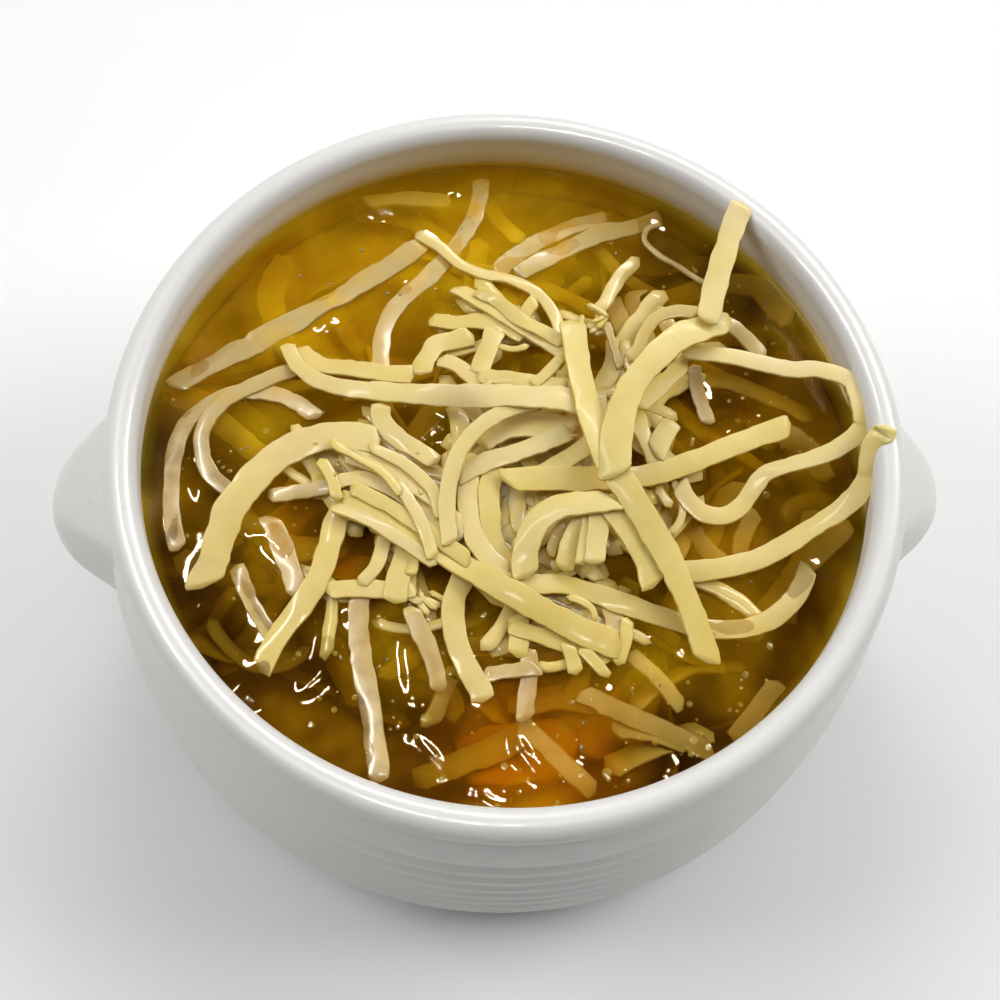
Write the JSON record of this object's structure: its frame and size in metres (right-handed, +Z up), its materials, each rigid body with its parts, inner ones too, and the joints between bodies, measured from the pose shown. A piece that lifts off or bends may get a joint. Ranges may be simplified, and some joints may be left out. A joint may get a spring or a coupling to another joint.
{
  "type": "french onion soup in a lug-handled bowl",
  "caption": "Round white porcelain soup bowl with two small lugs, filled with golden onion broth and topped with a loose heap of grated cheese ribbons.",
  "frame": {"origin": "centre of the bowl's foot ring, on the surface it stands on", "axes": "+X along the line of the two lugs, +Z up"},
  "size_m": [0.156, 0.136, 0.062],
  "materials": {
    "porcelain": "glossy white glaze",
    "broth": "clear golden-brown broth with oil and sunken onion strips, wet surface",
    "cheese": "pale yellow waxy cheese ribbons"
  },
  "bodies": {
    "root": {"bowl": "porcelain", "soup": "broth", "cheese_heap": "cheese"}
  },
  "joints": []
}
